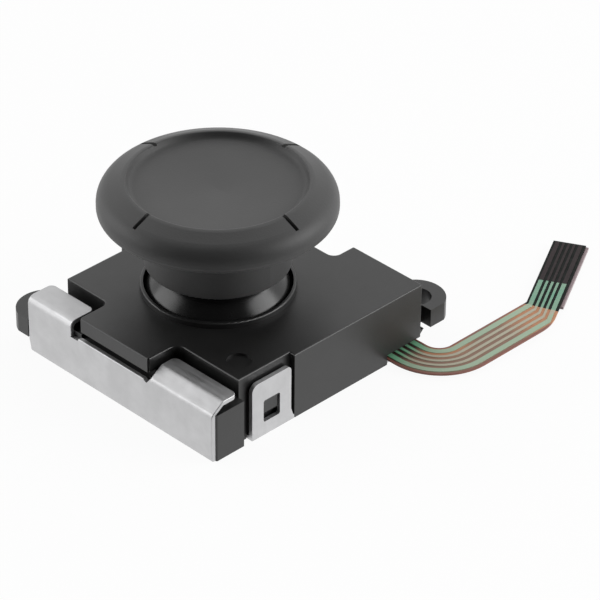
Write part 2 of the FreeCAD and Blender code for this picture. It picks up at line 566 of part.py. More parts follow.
def make_base_plate():
    """One folded steel sheet: floor, front wall with two hooks, and three tabs with windows."""
    body = new_body("base_plate")
    pad_outline(body, "floor", "XY", box_points(
        IN_LEFT + " + floor_gap", IN_RIGHT + " - floor_gap", "-(" + WALL_OUT + ")", MAIN_BACK + " - floor_gap"),
        "sheet_thick")
    pad_outline(body, "floor_back_right", "XY", box_points(
        "back_right + side_wall + floor_gap", IN_RIGHT + " - floor_gap", MAIN_BACK + " - 1",
        IN_BACK + " - floor_gap"), "sheet_thick")
    pad_outline(body, "floor_back_left", "XY", box_points(
        IN_LEFT + " + floor_gap", "-(back_left + side_wall + floor_gap)", MAIN_BACK + " - 1",
        IN_BACK + " - floor_gap"), "sheet_thick")
    pad_outline(body, "ribbon_shelf", "XY", box_points(
        IN_RIGHT + " - 1", "face_right - 0.15", "ribbon_near", IN_BACK + " - floor_gap"), "sheet_thick")

    # The front wall, seen from the front: notches let the hooks bend away from its middle
    pad_outline(body, "front_wall", "XZ", [
        ("-hook_left_end + 0.24", "0"), ("hook_right_end", "0"), ("hook_right_end", "slope_foot"),
        ("hook_right_start", "slope_foot"), ("hook_right_start - 0.35", "wall_middle - 0.18"),
        ("hook_right_start - 0.65", "wall_middle"), ("-hook_left_start + 0.75", "wall_middle"),
        ("-hook_left_start + 0.65", "wall_middle - 0.18"), ("-hook_left_start", "wall_middle - 0.18"),
        ("-hook_left_start", HOOK_UNDER + " - 0.4"), ("-hook_left_end", HOOK_UNDER + " - 0.4"),
        ("-hook_left_end", "1.18")],
        "sheet_thick", "face_front + sheet_gap")
    wall_in = "-(face_front + sheet_gap)"
    pad_outline(body, "hook_left", "YZ", [
        ("-(" + WALL_OUT + ")", HOOK_UNDER + " - 0.4"), (wall_in, HOOK_UNDER + " - 0.4"),
        (wall_in, HOOK_UNDER), ("-hook_left_reach", HOOK_UNDER), ("-hook_left_reach", "hook_top"),
        ("-(" + WALL_OUT + ")", "hook_top")],
        "hook_left_end - hook_left_start", "-hook_left_end")
    pad_outline(body, "hook_right", "YZ", [
        ("-(" + WALL_OUT + ")", "slope_foot - 0.2"), (wall_in, "slope_foot - 0.2"),
        (wall_in, "slope_foot - 0.05"), ("-slope_head", HOOK_UNDER), ("-hook_right_reach", HOOK_UNDER),
        ("-hook_right_reach", "hook_top"), ("-slope_head", "hook_top"), ("-(" + WALL_OUT + ")", "slope_foot")],
        "hook_right_end - hook_right_start", "hook_right_start")
    out = -(size("face_front") + size("sheet_gap") + size("sheet_thick"))
    top = size("hook_top")
    thick = size("sheet_thick")
    round_edges(body, "left_bend", along_x((out, top)), "hook_left_bend")
    round_edges(body, "left_bend_inside", along_x((out + thick, top - thick)), "hook_left_bend - sheet_thick")
    round_edges(body, "right_bends", along_x((out, size("slope_foot")), (-size("slope_head"), top)),
                "hook_bend")
    left_reach, right_reach = -size("hook_left_reach"), -size("hook_right_reach")
    round_edges(body, "hook_corners", upright(
        (-size("hook_left_end"), left_reach), (-size("hook_left_start"), left_reach),
        (size("hook_right_start"), right_reach), (size("hook_right_end"), right_reach)), "hook_bend")
    round_edges(body, "front_fold", along_x((out, 0)), "0.8 * sheet_thick")
    round_edges(body, "cut_edges", along_x((out, size("wall_middle")), (left_reach, top), (right_reach, top)),
                "steel_edge")

    # Side tabs: a foot under the housing wall, an upright leaf and its window
    for side, foot_in, foot_out, leaf_foot, shift in (
            ("right", IN_RIGHT + " - 1", "face_right", "face_right - sheet_thick", ""),
            ("left", IN_LEFT + " + 1", "-face_left", "-face_left", " + left_tab_shift")):
        far, near = "-tab_far" + shift, "-tab_near" + shift
        pad_outline(body, "foot_" + side, "XY", box_points(foot_in, foot_out, far, near + " + foot_flare"),
                    "sheet_thick")
        pad_outline(body, "tab_" + side, "YZ", [
            (far, "0"), (near + " + foot_flare", "0"), (near, "window_low - 0.1"), (near, "tab_top"),
            (far, "tab_top")], "sheet_thick", leaf_foot)
        cut_outline(body, "window_" + side, "YZ", box_points(
            far + " + window_margin", near + " - window_margin", "window_low", "window_high"),
            "3 * sheet_thick", leaf_foot + " + 2 * sheet_thick")

    half = "(tab_far - tab_near) / 2"
    left_edge = "-back_tab_across - " + half
    right_edge = "-back_tab_across + " + half
    back_face = "face_back - back_depth + tab_recess"
    pad_outline(body, "foot_back", "XY", box_points(left_edge, right_edge, MAIN_BACK + " - 1", back_face),
                "sheet_thick")
    pad_outline(body, "tab_back", "XZ", [
        (left_edge, "0"), (right_edge, "0"), (right_edge, "tab_top"), (left_edge, "tab_top")], "sheet_thick",
        "-(" + back_face + ")")
    cut_outline(body, "window_back", "XZ", box_points(
        left_edge + " + window_margin", right_edge + " - window_margin", "window_low", "window_high"),
        "3 * sheet_thick", "-(" + back_face + " - 2 * sheet_thick)")

    tab_top, margin = size("tab_top"), size("window_margin")
    levels = (size("window_low"), size("window_high"))
    fars = [-size("tab_far"), -size("tab_far") + size("left_tab_shift")]
    nears = [-size("tab_near"), -size("tab_near") + size("left_tab_shift")]
    middle = -size("back_tab_across")
    reach = (size("tab_far") - size("tab_near")) / 2
    round_edges(body, "tab_far_corners", along_x(*[(y, tab_top) for y in fars]), "tab_far_round")
    round_edges(body, "tab_near_corners", along_x(*[(y, tab_top) for y in nears]), "tab_near_round")
    round_edges(body, "tab_back_corners", along_y((middle - reach, tab_top), (middle + reach, tab_top)),
                "tab_near_round")
    sides = [y + margin for y in fars] + [y - margin for y in nears]
    round_edges(body, "window_corners", along_x(*[(y, z) for y in sides for z in levels]), "window_round")
    sides = (middle - reach + margin, middle + reach - margin)
    round_edges(body, "window_back_corners", along_y(*[(x, z) for x in sides for z in levels]), "window_round")
    return body


def make_bearing_frame():
    """A moulded ring on the film, with four posts that carry the journals from below."""
    body = new_body("bearing_frame")
    pad_circle(body, "ring", "XY", ("0", "0"), "frame_outer", "frame_thick", FILM_TOP)
    post = pad_outline(body, "post", "XY", box_points(
        "frame_outer - 0.4", "bearing_reach + bearing_thick", "-bearing_width / 2", "bearing_width / 2"),
        "frame_thick", FILM_TOP)
    around(body, "post_feet", post)
    upper = pad_outline(body, "saddle", "XY", box_points(
        "bearing_reach", "bearing_reach + bearing_thick", "-bearing_width / 2", "bearing_width / 2"),
        "pivot_level - (" + FILM_TOP + ")", FILM_TOP)
    around(body, "saddles", upper)
    cut_circle(body, "ring_bore", "XY", ("0", "0"), "frame_inner", "2 * frame_thick",
               FILM_TOP + " + 1.5 * frame_thick")
    far = "2 * (bearing_reach + bearing_thick + run_gap)"
    for name, plane in (("saddle_along", "XZ"), ("saddle_across", "YZ")):
        cut_circle(body, name, plane, ("0", "pivot_level"), "journal_radius + run_gap", far, midplane=True)
    return body


def tail_line(offset):
    """Where an edge of the ribbon, offset from its inner edge, turns off into the tail."""
    across = "(ribbon_inner + " + offset + ")"
    share = "(" + offset + ") * tail_width / ribbon_width"
    along = ("(ribbon_kink + (" + share + " - (" + offset + ") * cos(tail_angle)) / sin(tail_angle))")
    return across, along


def tail_point(offset, distance):
    """A point on the tail, measured along it from the kink of the inner edge."""
    share = "(" + offset + ") * tail_width / ribbon_width"
    across = "ribbon_inner - (" + distance + ") * sin(tail_angle) + " + share + " * cos(tail_angle)"
    along = "ribbon_kink + (" + distance + ") * cos(tail_angle) + " + share + " * sin(tail_angle)"
    return across, along


def ribbon_band(body, name, near, far, level, thick, start, end):
    """A band of the ribbon between two offsets from its inner edge, with its elbow rounded."""
    inner_y = "ribbon_near + ribbon_width"
    corners = [(start, inner_y + " - (" + near + ")"),
               ("ribbon_inner + " + near, inner_y + " - (" + near + ")"), tail_line(near),
               tail_point(near, end), tail_point(far, end), tail_line(far),
               ("ribbon_inner + " + far, inner_y + " - (" + far + ")"), (start, inner_y + " - (" + far + ")")]
    pad_outline(body, name, "XY", corners, thick, level)


def number(text):
    """The value of a sum of sizes and plain numbers, such as the offsets of the traces."""
    total = 0.0
    for term in text.split("+"):
        term = term.strip()
        total += size(term) if term in NAMES else float(term)
    return total


def round_elbow(body, name, near, far):
    """Rounds the elbow's two upright edges about one centre."""
    inner_y = size("ribbon_near") + size("ribbon_width")
    for side, offset in (("in", near), ("out", far)):
        shift = number(offset)
        round_edges(body, name + "_" + side, upright(
            (size("ribbon_inner") + shift, inner_y - shift)), "ribbon_turn + " + offset)


def make_flex_film():
    """The flexible circuit: a sheet on the floor and a ribbon that turns and ends in a tail."""
    body = new_body("flex_film")
    ribbon_band(body, "ribbon", "0", "ribbon_width", "sheet_thick", "film_thick", IN_RIGHT + " - 1",
                "tail_length")
    round_elbow(body, "elbow", "0", "ribbon_width")
    outer, angle = size("ribbon_width"), math.radians(size("tail_angle"))
    along = size("ribbon_kink") + (size("tail_width") - outer * math.cos(angle)) / math.sin(angle)
    round_edges(body, "tail_bend", upright((size("ribbon_inner") + outer, along)), "tail_bend_round")
    gap = "0.1"
    pad_outline(body, "sheet_main", "XY", box_points(
        IN_LEFT + " + " + gap, IN_RIGHT + " - " + gap, MAIN_FRONT + " + " + gap, MAIN_BACK + " - " + gap),
        "film_thick", "sheet_thick")
    pad_outline(body, "sheet_bay", "XY", box_points(
        BAY_LEFT + " + " + gap, BAY_RIGHT + " - " + gap, BAY_FRONT + " + " + gap, MAIN_FRONT + " + 0.5"),
        "film_thick", "sheet_thick")
    pad_outline(body, "sheet_corner", "XY", box_points(
        "back_right + side_wall + " + gap, IN_RIGHT + " - " + gap, MAIN_BACK + " - 0.5",
        IN_BACK + " - " + gap), "film_thick", "sheet_thick")
    cut_outline(body, "corner_clear", "XY", box_points(
        IN_RIGHT + " - 1.2", IN_RIGHT + " - " + gap, IN_BACK + " - " + gap, "face_back + 1"),
        "film_thick + 0.2", "sheet_thick + film_thick + 0.1")
    return body


def trace_edges():
    """Offsets of each trace's two edges from the ribbon's inner edge: wide, thin, thin, thin, wide."""
    edges = []
    near = "trace_margin"
    for width in ("wide_trace", "thin_trace", "thin_trace", "thin_trace", "wide_trace"):
        far = near + " + " + width
        edges.append((near, far))
        near = far + " + trace_gap"
    return edges


TRACES = trace_edges()


def make_traces():
    """Five printed traces from the exit to the pads."""
    traces = []
    for count, (near, far) in enumerate(TRACES, start=1):
        body = new_body("trace_%d" % count)
        ribbon_band(body, "run_%d" % count, near, far, FILM_TOP, "print_thick", IN_RIGHT + " + 0.1",
                    "tail_length - pad_length")
        round_elbow(body, "trace_elbow_%d" % count, near, far)
        traces.append(body)
    return group("trace_lines", traces)


def make_contact_pads():
    """Five contact pads at the end of the tail."""
    pads = []
    for count, (near, far) in enumerate(TRACES, start=1):
        body = new_body("pad_%d" % count)
        start = "tail_length - pad_length + 0.02"
        end = "tail_length - 0.15"
        pad_outline(body, "contact_%d" % count, "XY", [
            tail_point(near, start), tail_point(near, end), tail_point(far, end), tail_point(far, start)],
            "print_thick", FILM_TOP)
        pads.append(body)
    return group("contact_pads", pads)


def make_tail_stiffener():
    """A stiff strip glued under the tail, so that it can be pushed into a socket."""
    body = new_body("tail_stiffener")
    near, far, start = "0.02", "ribbon_width + 0.25", "0.3"
    pad_outline(body, "strip", "XY", [
        tail_point(near, start), tail_point(near, "tail_length"), tail_point(far, "tail_length"),
        tail_point(far, start)], "stiffener_thick", "sheet_thick", backwards=True)
    return body


def group(label, members):
    compound = doc.addObject("Part::Compound", label)
    compound.Links = members
    return compound


def make_carbon_track(label, along_x_axis):
    """A carbon track on the film, under one slider's wiper."""
    track = doc.addObject("Part::Box", label)
    centre = "slider_reach + slider_thick / 2"
    bind(track, Length="track_length" if along_x_axis else "track_width",
         Width="track_width" if along_x_axis else "track_length", Height="print_thick")
    if along_x_axis:
        track.setExpression(".Placement.Base.x", formula("-track_length / 2"))
        track.setExpression(".Placement.Base.y", formula("-(" + centre + ") - track_width / 2"))
    else:
        track.setExpression(".Placement.Base.x", formula(centre + " - track_width / 2"))
        track.setExpression(".Placement.Base.y", formula("-track_length / 2"))
    track.setExpression(".Placement.Base.z", formula(FILM_TOP))
    return track


def make_shell_dome(label, radius, level, rise, wall):
    """A shallow domed disc with a flat rim, turned about the stick's axis."""
    body = new_body(label)
    shoulder = level + " + 0.8 * (" + rise + ")"
    turn("Revolution", body, label + "_shell", [
        ("0", level + " + " + rise), (radius + " * 0.45", shoulder), (radius + " * 0.9", level),
        (radius, level), (radius, level + " + " + wall), (radius + " * 0.92", level + " + " + wall),
        (radius + " * 0.47", shoulder + " + " + wall), ("0", level + " + " + rise + " + " + wall)])
    return body


def make_stick_lever():
    """One moulding: glossy dome, post to the hub and stem for the cap."""
    body = new_body("stick_lever")
    ball("Additive", body, "dome", "dome_radius", "dome_rim_angle")
    ball("Subtractive", body, "dome_inside", "dome_radius - dome_wall")
    notch = cut_outline(body, "rim_notch", "XY", box_points(
        "arch_inner", "dome_radius + 0.5", "-dome_notch_width / 2", "dome_notch_width / 2"),
        "2", "pivot_level + dome_radius * sin(dome_notch_angle)")
    around(body, "rim_notches", notch)
    pad_circle(body, "shoulder", "XY", ("0", "0"), "shoulder_radius",
               "pivot_level + dome_radius - dome_wall / 2 - shoulder_level", "shoulder_level")
    pad_circle(body, "post", "XY", ("0", "0"), "post_radius", "shoulder_level - post_tip", "post_tip")
    stem_foot = "pivot_level + dome_radius - dome_wall"
    pad_circle(body, "stem", "XY", ("0", "0"), "stem_radius", "stem_top - (" + stem_foot + ")", stem_foot)
    for side, sign in (("right", ""), ("left", "-")):
        near, far = (sign + "stem_flat", sign + "(stem_radius + 1)")
        cut_outline(body, "flat_" + side, "XY", box_points(near, far, "-stem_radius", "stem_radius"),
                    "stem_top - pivot_level - dome_radius - 0.2", "stem_top")
    turn("Groove", body, "clip_seat", [
        ("post_radius - clip_groove", CLIP_TOP + " - clip_thick - sheet_gap"),
        ("post_radius + 1", CLIP_TOP + " - clip_thick - sheet_gap"),
        ("post_radius + 1", CLIP_TOP + " + sheet_gap"),
        ("post_radius - clip_groove", CLIP_TOP + " + sheet_gap")])
    round_edges(body, "tip", ring_edge(size("post_radius"), size("post_tip")), "tip_round")
    return body


CLIP_TOP = "pivot_level - hub_below - sheet_gap"


def make_lever_clip():
    """An open ring in the post's groove, which stops the lever at the hub."""
    body = new_body("lever_clip")
    pad_circle(body, "disc", "XY", ("0", "0"), "clip_radius", "clip_thick", CLIP_TOP + " - clip_thick")
    cut_circle(body, "bore", "XY", ("0", "0"), "post_radius - clip_groove + 0.02", "3 * clip_thick",
               CLIP_TOP + " + clip_thick")
    cut_outline(body, "mouth", "XY", box_points(
        "0", "clip_radius + 1", "-(post_radius - clip_groove) * 0.8", "(post_radius - clip_groove) * 0.8"),
        "3 * clip_thick", CLIP_TOP + " + clip_thick")
    return body


def make_spring_washer():
    """The washer that the return spring pushes up against the post's shoulder."""
    body = new_body("spring_washer")
    pad_circle(body, "washer", "XY", ("0", "0"), "washer_radius", "washer_thick",
               "shoulder_level - washer_thick - sheet_gap")
    cut_circle(body, "washer_bore", "XY", ("0", "0"), "post_radius + run_gap", "3 * washer_thick",
               "shoulder_level + washer_thick")
    return body


def make_return_spring():
    """A helical spring between the hub and the washer, of a wire drawn with narrow flats."""
    low = "pivot_level + hub_above + spring_wire + sheet_gap"
    high = "shoulder_level - washer_thick - spring_wire - 2 * sheet_gap"
    helix = doc.addObject("Part::Helix", "spring_path")
    bind(helix, Radius="spring_radius", Height=high + " - (" + low + ")",
         Pitch="(" + high + " - (" + low + ")) / spring_turns")
    helix.setExpression(".Placement.Base.z", formula(low))
    wire = doc.addObject("Part::RegularPolygon", "spring_section")
    bind(wire, Circumradius="spring_wire", Polygon="spring_sides")
    wire.Placement = FreeCAD.Placement(FreeCAD.Vector(0, 0, 0), FreeCAD.Rotation(FreeCAD.Vector(1, 0, 0), 90))
    wire.setExpression(".Placement.Base.x", formula("spring_radius"))
    wire.setExpression(".Placement.Base.z", formula(low))
    spring = doc.addObject("Part::Sweep", "return_spring")
    spring.Sections = [wire]
    spring.Spine = (helix, [])
    spring.Solid = True
    spring.Frenet = True
    return spring


def make_pivot_hub():
    """The hub that the post slides in, with two trunnions along Y."""
    body = new_body("pivot_hub")
    pad_circle(body, "hub", "XY", ("0", "0"), "hub_radius", "hub_above + hub_below", "pivot_level - hub_below")
    pad_circle(body, "trunnions", "XZ", ("0", "pivot_level"), "journal_radius",
               "2 * (gimbal_outer - 2 * run_gap)", midplane=True)
    cut_circle(body, "hub_bore", "XY", ("0", "0"), "post_radius + run_gap", "hub_above + hub_below + 1",
               "pivot_level + hub_above + 0.5")
    return body


def crank(body, name, plane):
    """A plate and a pin below one journal, which drive a slider."""
    start = "bearing_reach + bearing_thick + 2 * run_gap"
    thick = "slider_reach - 2 * run_gap - (" + start + ")"
    arm = box_points("-journal_radius * 1.5", "journal_radius * 1.5",
                     "pivot_level - crank_reach - crank_pin_radius", "pivot_level + journal_radius * 1.5")
    pad_outline(body, name + "_arm", plane, arm, thick, start)
    pad_circle(body, name + "_pin", plane, ("0", "pivot_level - crank_reach"), "crank_pin_radius",
               "slider_thick * 0.7 + 2 * run_gap", "slider_reach - 2 * run_gap")


def make_lower_rocker():
    """A ring about the hub, with journals along X and a crank at the +X end."""
    body = new_body("lower_rocker")
    pad_circle(body, "gimbal", "XY", ("0", "0"), "gimbal_outer", "gimbal_thick",
               "pivot_level - gimbal_thick / 2")
    reach = "bearing_reach + bearing_thick + 3 * run_gap"
    pad_circle(body, "journals", "YZ", ("0", "pivot_level"), "journal_radius", "2 * (" + reach + ")",
               midplane=True)
    boss = "journal_radius + run_gap + gimbal_boss"
    pad_outline(body, "trunnion_bosses", "XY", box_points(
        "-(" + boss + ")", boss, "-(gimbal_outer - run_gap)", "gimbal_outer - run_gap"), boss,
        "pivot_level - (" + boss + ")")
    cut_circle(body, "gimbal_bore", "XY", ("0", "0"), "gimbal_inner", "gimbal_thick + 3",
               "pivot_level + gimbal_thick / 2 + 0.5")
    cut_circle(body, "trunnion_seats", "XZ", ("0", "pivot_level"), "journal_radius + run_gap",
               "2 * (gimbal_outer + 0.5)", midplane=True)
    cut_outline(body, "trunnion_mouths", "XZ", box_points(
        "-(journal_radius + run_gap)", "journal_radius + run_gap", "pivot_level", "pivot_level + gimbal_thick"),
        "2 * (gimbal_outer + 0.5)", midplane=True)
    crank(body, "crank_y", "YZ")
    return body


def make_upper_rocker():
    """A slotted arch over the hub, with journals along Y and a crank at the -Y end."""
    body = new_body("upper_rocker")
    ball("Additive", body, "arch", "arch_outer", "0")
    ball("Subtractive", body, "arch_inside", "arch_inner")
    for side, sign in (("right", ""), ("left", "-")):
        cut_outline(body, "arch_side_" + side, "XY", box_points(
            sign + "arch_width / 2", sign + "(arch_outer + 1)", "-(arch_outer + 1)", "arch_outer + 1"),
            "arch_outer + 1", "pivot_level - 0.5", backwards=True)
    slot_far = "arch_outer * sin(arch_slot_angle)"
    cut_outline(body, "arch_slot", "XY", box_points(
        "-(shoulder_radius + run_gap)", "shoulder_radius + run_gap", "-(" + slot_far + ")", slot_far),
        "arch_outer", "pivot_level + 1", backwards=True)
    for side, lift in (("front", "(arch_inner + arch_outer) / 2"), ("back", None)):
        reach = "bearing_reach + bearing_thick + 3 * run_gap - (arch_inner + arch_outer) / 2"
        if lift:
            pad_circle(body, "journal_" + side, "XZ", ("0", "pivot_level"), "journal_radius", reach, lift)
        else:
            pad_circle(body, "journal_" + side, "XZ", ("0", "pivot_level"), "journal_radius", reach,
                       "-(arch_inner + arch_outer) / 2", backwards=True)
    crank(body, "crank_x", "XZ")
    return body


def make_slider(label, plane_x):
    """A slider with a fork for the crank pin. It runs along X under the upper rocker, or along Y."""
    body = new_body(label)
    if plane_x:
        block = box_points("-slider_length / 2", "slider_length / 2", "-(slider_reach + slider_thick)",
                           "-slider_reach")
        plane, lift = "XZ", "slider_reach + slider_thick + 0.5"
    else:
        block = box_points("slider_reach", "slider_reach + slider_thick", "-slider_length / 2",
                           "slider_length / 2")
        plane, lift = "YZ", "slider_reach + slider_thick + 0.5"
    pad_outline(body, label + "_block", "XY", block, "slider_height", "slider_foot")
    reach = "crank_pin_radius + fork_gap"
    cut_outline(body, label + "_fork", plane, box_points(
        "-(" + reach + ")", reach, "pivot_level - crank_reach - (" + reach + ")",
        "slider_foot + slider_height + 1"), "slider_thick + 1", lift)
    return body


def make_wiper(label, plane_x):
    """Two bent spring leaves under a slider, which touch the carbon track."""
    body = new_body(label)
    top = "slider_foot - sheet_gap"
    under = top + " - wiper_thick"
    touch = PRINT_TOP + " + track_gap"
    end = "slider_length / 2 - 0.2"
    leaf = [("-(" + end + ")", top), ("-(" + end + ")", under), ("-(" + end + " - 1.0)", under),
            ("-0.35", touch), ("0.35", touch), (end + " - 1.0", under), (end, under), (end, top),
            (end + " - 1.0", top), ("0.35", touch + " + wiper_thick"), ("-0.35", touch + " + wiper_thick"),
            ("-(" + end + " - 1.0)", top)]
    pad_outline(body, label + "_leaf", "XZ" if plane_x else "YZ", leaf, "wiper_width",
                "slider_reach + (slider_thick - wiper_width) / 2")
    return body


def make_cap_core():
    """The hard core of the cap, with a socket for the stem and a cup that seats on the dome."""
    body = new_body("cap_core")
    inner = "neck_radius - rubber_wall"
    turn("Revolution", body, "core", [
        ("0", "neck_foot + 1.0"), ("stem_radius + run_gap", "neck_foot + 0.65"),
        ("neck_radius * 0.65", "neck_foot + 0.1"), (inner, "neck_foot + 0.1"), (inner, "neck_head + 0.6"),
        (CORE_EDGE, CORE_LOW), (CORE_EDGE, CORE_HIGH), (DISH_FOOT, "dish_level - 0.35"),
        ("0", "dish_level - 0.8")])
    sketch = new_sketch(body, "socket_circle", "XY", "stem_top + run_gap")
    add_circle(sketch, "0", "0", "stem_radius + run_gap")
    extrude("Pocket", body, "socket", sketch, "stem_top - neck_foot + 0.5")
    return body


# Corners that the cap's rubber and its core share
CORE_EDGE = "crest_radius + 0.35 * rim_width"
CORE_LOW = "rim_level - 0.7 * rim_drop"
CORE_HIGH = "rim_level + 0.15"
CREST_IN = "crest_radius - crest_width"
DISH_FOOT = "crest_radius - crest_width - dish_wall"
RIM_OUT = "crest_radius + rim_width"


def make_thumb_cap():
    """The rubber cap: neck, flared underside, rounded rim, crest and shallow dish."""
    body = new_body("thumb_cap")
    inner = "neck_radius - rubber_wall + bond_gap"
    turn("Revolution", body, "skin", [
        (inner, "neck_foot"), ("neck_radius", "neck_foot"), ("neck_radius - neck_taper", "neck_head"),
        (RIM_OUT, "rim_level - rim_drop"), (RIM_OUT, "crest_level - rim_slope"),
        ("crest_radius", "crest_level"), (CREST_IN, "crest_level"),
        (DISH_FOOT, "dish_level + dish_rise"), ("0", "dish_level"),
        ("0", "dish_level - 0.8 + bond_gap"), (DISH_FOOT, "dish_level - 0.35 + bond_gap"),
        (CORE_EDGE + " + bond_gap", CORE_HIGH + " + bond_gap"),
        (CORE_EDGE + " + bond_gap", CORE_LOW + " - bond_gap"), (inner, "neck_head + 0.6 - bond_gap")])
    crest, crest_level = size("crest_radius"), size("crest_level")
    rim = crest + size("rim_width")
    crest_in = crest - size("crest_width")
    round_edges(body, "rim_outer", ring_edge(rim, crest_level - size("rim_slope")), "rim_round")
    round_edges(body, "rim_foot", ring_edge(rim, size("rim_level") - size("rim_drop")), "rim_foot_round")
    round_edges(body, "crest_outer", ring_edge(crest, crest_level), "crest_fall")
    round_edges(body, "crest_inner", ring_edge(crest_in, crest_level), "crest_round")
    dish_edge = size("dish_level") + size("dish_rise")
    round_edges(body, "dish_foot", ring_edge(crest_in - size("dish_wall"), dish_edge), "dish_round")
    round_edges(body, "neck_root", ring_edge(size("neck_radius") - size("neck_taper"), size("neck_head")),
                "neck_root_round")
    round_edges(body, "neck_edge", ring_edge(size("neck_radius"), size("neck_foot")), "neck_foot_round")
    mark = cut_outline(body, "rim_mark", "XZ", [
        (CREST_IN + " - dish_wall / 2", "crest_level + 1"),
        (CREST_IN + " - dish_wall / 2", "crest_level - 0.1"),
        ("crest_radius", "crest_level - cap_mark_depth"),
        (RIM_OUT + " - 0.6", "crest_level - rim_slope - cap_mark_depth"),
        (RIM_OUT + " - 0.4", "crest_level + 1")], "cap_mark_width", midplane=True)
    around(body, "rim_marks", mark)
    return body


PIECES = [
    make_base_plate(),
    make_housing(),
    make_bearing_frame(),
    make_flex_film(),
    make_traces(),
    make_contact_pads(),
    make_tail_stiffener(),
    make_carbon_track("carbon_track_x", True),
    make_carbon_track("carbon_track_y", False),
    make_shell_dome("click_dome", "click_radius", FILM_TOP, "click_height", "click_wall"),
    make_shell_dome("dome_cover", "(click_radius + 0.5)", FILM_TOP + " + click_wall + 0.015", "click_height",
                    "cover_wall"),
    make_lower_rocker(),
    make_pivot_hub(),
    make_return_spring(),
    make_upper_rocker(),
    make_slider("slider_x", True),
    make_wiper("wiper_x", True),
    make_slider("slider_y", False),
    make_wiper("wiper_y", False),
    make_stick_lever(),
    make_lever_clip(),
    make_spring_washer(),
    make_cap_core(),
    make_thumb_cap(),
]

doc.recompute()
for thing in doc.Objects:
    if "Invalid" in thing.State or "Error" in thing.State:
        raise RuntimeError(thing.Label + " failed: " + ", ".join(thing.State))
os.makedirs("parts", exist_ok=True)
for piece in PIECES:
    shape = piece.Shape
    if shape.isNull() or not shape.isValid():
        raise RuntimeError(piece.Label + " has no valid shape")
for piece in PIECES:
    piece.Shape.exportStep("parts/" + piece.Label + ".step")
    print("%-16s %8.3f mm3  %d solids" % (piece.Label, piece.Shape.Volume, len(piece.Shape.Solids)))
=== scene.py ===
"""Looks of a thumb stick module of a hand-held controller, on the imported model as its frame."""

import math

import bpy
from mathutils import Matrix, Vector


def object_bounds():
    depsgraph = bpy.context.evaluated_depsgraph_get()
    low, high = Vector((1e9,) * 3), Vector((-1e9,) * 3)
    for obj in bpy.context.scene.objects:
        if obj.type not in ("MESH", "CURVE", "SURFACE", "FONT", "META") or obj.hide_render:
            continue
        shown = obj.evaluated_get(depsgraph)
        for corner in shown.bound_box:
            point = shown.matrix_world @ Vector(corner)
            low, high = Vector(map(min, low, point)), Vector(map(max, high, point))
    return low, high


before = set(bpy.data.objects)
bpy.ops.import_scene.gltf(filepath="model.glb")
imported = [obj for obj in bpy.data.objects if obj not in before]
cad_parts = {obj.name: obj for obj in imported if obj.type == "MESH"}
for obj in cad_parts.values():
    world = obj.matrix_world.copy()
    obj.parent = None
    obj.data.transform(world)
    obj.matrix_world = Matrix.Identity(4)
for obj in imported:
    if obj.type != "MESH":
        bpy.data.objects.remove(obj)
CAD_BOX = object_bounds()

bl_info = {
    "name": "Thumb stick module",
    "version": (1, 0, 0),
    "blender": (4, 5, 0),
    "location": "3D View > Sidebar > Stick",
    "description": "Dresses the packed thumb stick module and sets its stage",
    "category": "Object",
}

MM = 0.001
FLOOR_LEVEL = CAD_BOX[0][2]

# Facets that meet at less than this angle are steps of a round, so they are shaded smooth.
SMOOTH_BELOW = math.radians(28)

# Most values of a noise lie between these two.
NOISE_LOW = 0.3
NOISE_HIGH = 0.7

# The ribbon's inner edge turns about this point of the plan at the elbow, with this radius.
ELBOW = (9.88 * MM, 10.62 * MM)
ELBOW_ROUND = 1.13 * MM

# The tail runs level in this direction, and its black ground begins this far along it.
TAIL_HEADING = (-0.384, 0.924, 0)
TAIL_START = 12.16 * MM

# Bands of the ribbon: from, to, and how softly they end. The shaded band goes by X and the
# elbow and the kink by Y. The others go by the distance from the ribbon's inner edge.
SHADED_BAND = (0.0, 10.0 * MM, 0.5 * MM)
ELBOW_BAND = (8.0 * MM, 11.6 * MM, 0.8 * MM)
KINK_BAND = (15.4 * MM, 22.0 * MM, 1.0 * MM)
INNER_BAND = (-1.0 * MM, 1.0 * MM, 0.4 * MM)
UNCUT_BAND = (0.12 * MM, 2.86 * MM, 0.05 * MM)
THIN_LINES_BAND = (0.75 * MM, 2.2 * MM, 0.05 * MM)

# A long lens well above the floor, as in a catalogue picture.
CAMERA_AT = Vector((142.36, -134.35, 134.72)) * MM
CAMERA_AIM = Vector((4.078, 3.459, 4.0)) * MM
CAMERA_ROLL = math.radians(0.5)
CAMERA_SENSOR = 36
CAMERA_CLIP = 10 * MM

# Name, azimuth and height in degrees, and power in watts.
SIDE_LAMPS = (("left_lamp", -139, 17, 0.27), ("right_lamp", 37, 21, 0.52))
LAMP_AIM = Vector((0, 0, 6 * MM))

# The paper glows white for the camera and in what mirrors it. Between these two distances on
# the camera's side it grows dim for all but the camera, so it doesn't light the dark walls.
PAPER = "#f6f6f6"
DIM_PAPER = "#5a5a5a"
PAPER_GLOW = 0.94
TOWARD_CAMERA = (0.73, -0.69, 0)
PAPER_DIMMING = {"From Min": 12 * MM, "From Max": 30 * MM, "To Min": 1.0, "To Max": 0.1}

# The part of the room that lies this way is dark. The rest is brighter overhead than low
# behind the module.
ROOM_FRONT = (0.63, -0.63, 0.45)
ROOM_DARKENING = {"From Min": 0.1, "From Max": 0.66, "To Min": 1.0, "To Max": 0.03}
ROOM_OVERHEAD = {"From Min": -0.85, "From Max": -0.1, "To Min": 0.82, "To Max": 1.12}


def linear(code):
    """The linear colour of an sRGB hex code."""
    channels = [int(code[i : i + 2], 16) / 255 for i in (1, 3, 5)]
    return [c / 12.92 if c <= 0.04045 else ((c + 0.055) / 1.055) ** 2.4 for c in channels] + [1.0]


